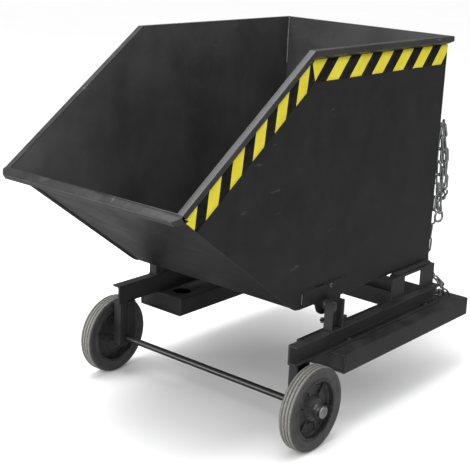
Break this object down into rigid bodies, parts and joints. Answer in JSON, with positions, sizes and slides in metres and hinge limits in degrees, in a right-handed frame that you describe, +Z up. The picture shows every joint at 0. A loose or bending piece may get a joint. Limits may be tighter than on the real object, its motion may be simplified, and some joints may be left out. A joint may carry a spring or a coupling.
{
  "type": "tipping skip on wheels",
  "caption": "Dark painted steel tipping skip with a sloped pouring lip, on a wheeled base frame with fork pockets, safety chain and hazard tape.",
  "frame": {"origin": "centre of the object's footprint on the ground, the bottom centre of its bounding box", "axes": "+Z up, -Y towards the pouring lip and the front wheels, +X towards the near side"},
  "size_m": [0.894, 1.393, 1.1314],
  "materials": {
    "tub_paint": "satin powder coat",
    "frame_paint": "satin powder coat",
    "hazard_tape": "yellow with black diagonal stripes",
    "bare_steel": "drawn bar",
    "zinc": "zinc plated",
    "chain_steel": "galvanised",
    "tyre_rubber": "solid rubber",
    "pad_rubber": "matt",
    "disc_plastic": "moulded"
  },
  "bodies": {
    "frame": {"channel_near": "frame_paint", "channel_far": "frame_paint", "fork_pocket_near": "frame_paint", "fork_pocket_far": "frame_paint", "pocket_end_plates": "frame_paint", "rear_crossbeam": "frame_paint", "upright_near": "frame_paint", "upright_far": "frame_paint", "rear_rest_near": "frame_paint", "rear_rest_far": "frame_paint", "rest_pads": "pad_rubber", "pivot_shaft": "bare_steel", "pivot_spacers": "frame_paint", "pivot_nuts": "frame_paint", "wheel_bracket_near": "frame_paint", "wheel_bracket_far": "frame_paint", "axle_rod": "bare_steel", "axle_collars": "frame_paint", "latch_bracket": "frame_paint", "latch_pin": "bare_steel", "pocket_bolts": "frame_paint", "chain_shackle": "zinc", "castor_post": "frame_paint", "castor_top_plate": "zinc", "castor_bolts": "zinc"},
    "tub": {"side_panel_near": "tub_paint", "side_panel_far": "tub_paint", "front_plate": "tub_paint", "floor_plate": "tub_paint", "rear_panel": "tub_paint", "rim_slope_near": "tub_paint", "rim_slope_far": "tub_paint", "rim_top_near": "tub_paint", "rim_top_far": "tub_paint", "rim_lip": "tub_paint", "rim_rear": "tub_paint", "hazard_tape_near": "hazard_tape", "hazard_tape_far": "hazard_tape", "pivot_ear_near": "tub_paint", "pivot_ear_far": "tub_paint", "ear_bushes": "zinc", "ear_bolts": "zinc", "chain_hook": "zinc", "chain_bundle": "chain_steel", "chain_run": "chain_steel", "chain_end_ring": "chain_steel", "latch_keeper": "bare_steel"},
    "near_wheel": {"tyre_near": "tyre_rubber", "wheel_disc_near": "disc_plastic", "hub_cap_near": "zinc"},
    "far_wheel": {"tyre_far": "tyre_rubber", "wheel_disc_far": "disc_plastic", "hub_cap_far": "zinc"},
    "castor_swivel": {"castor_fork": "zinc", "castor_axle_bolt": "zinc"},
    "castor_wheel": {"castor_core": "disc_plastic", "castor_tyre": "tyre_rubber"},
    "latch": {"latch_lever": "frame_paint", "latch_grip": "pad_rubber"}
  },
  "joints": [
    {"name": "tub_tip", "type": "hinge", "parent": "frame", "child": "tub", "pos_m": [0, -0.021, 0.374], "axis": [1, 0, 0], "range_deg": [0, 70]},
    {"name": "near_wheel_spin", "type": "hinge", "parent": "frame", "child": "near_wheel", "pos_m": [0.4, -0.176, 0.125], "axis": [1, 0, 0], "continuous": true},
    {"name": "far_wheel_spin", "type": "hinge", "parent": "frame", "child": "far_wheel", "pos_m": [-0.4, -0.176, 0.125], "axis": [1, 0, 0], "continuous": true},
    {"name": "castor_turn", "type": "hinge", "parent": "frame", "child": "castor_swivel", "pos_m": [0, 0.503, 0.085], "axis": [0, 0, 1], "continuous": true},
    {"name": "castor_roll", "type": "hinge", "parent": "castor_swivel", "child": "castor_wheel", "pos_m": [0, 0.531, 0.04], "axis": [1, 0, 0], "continuous": true},
    {"name": "latch_turn", "type": "hinge", "parent": "frame", "child": "latch", "pos_m": [0, 0.56, 0.325], "axis": [1, 0, 0], "range_deg": [0, 25]}
  ]
}
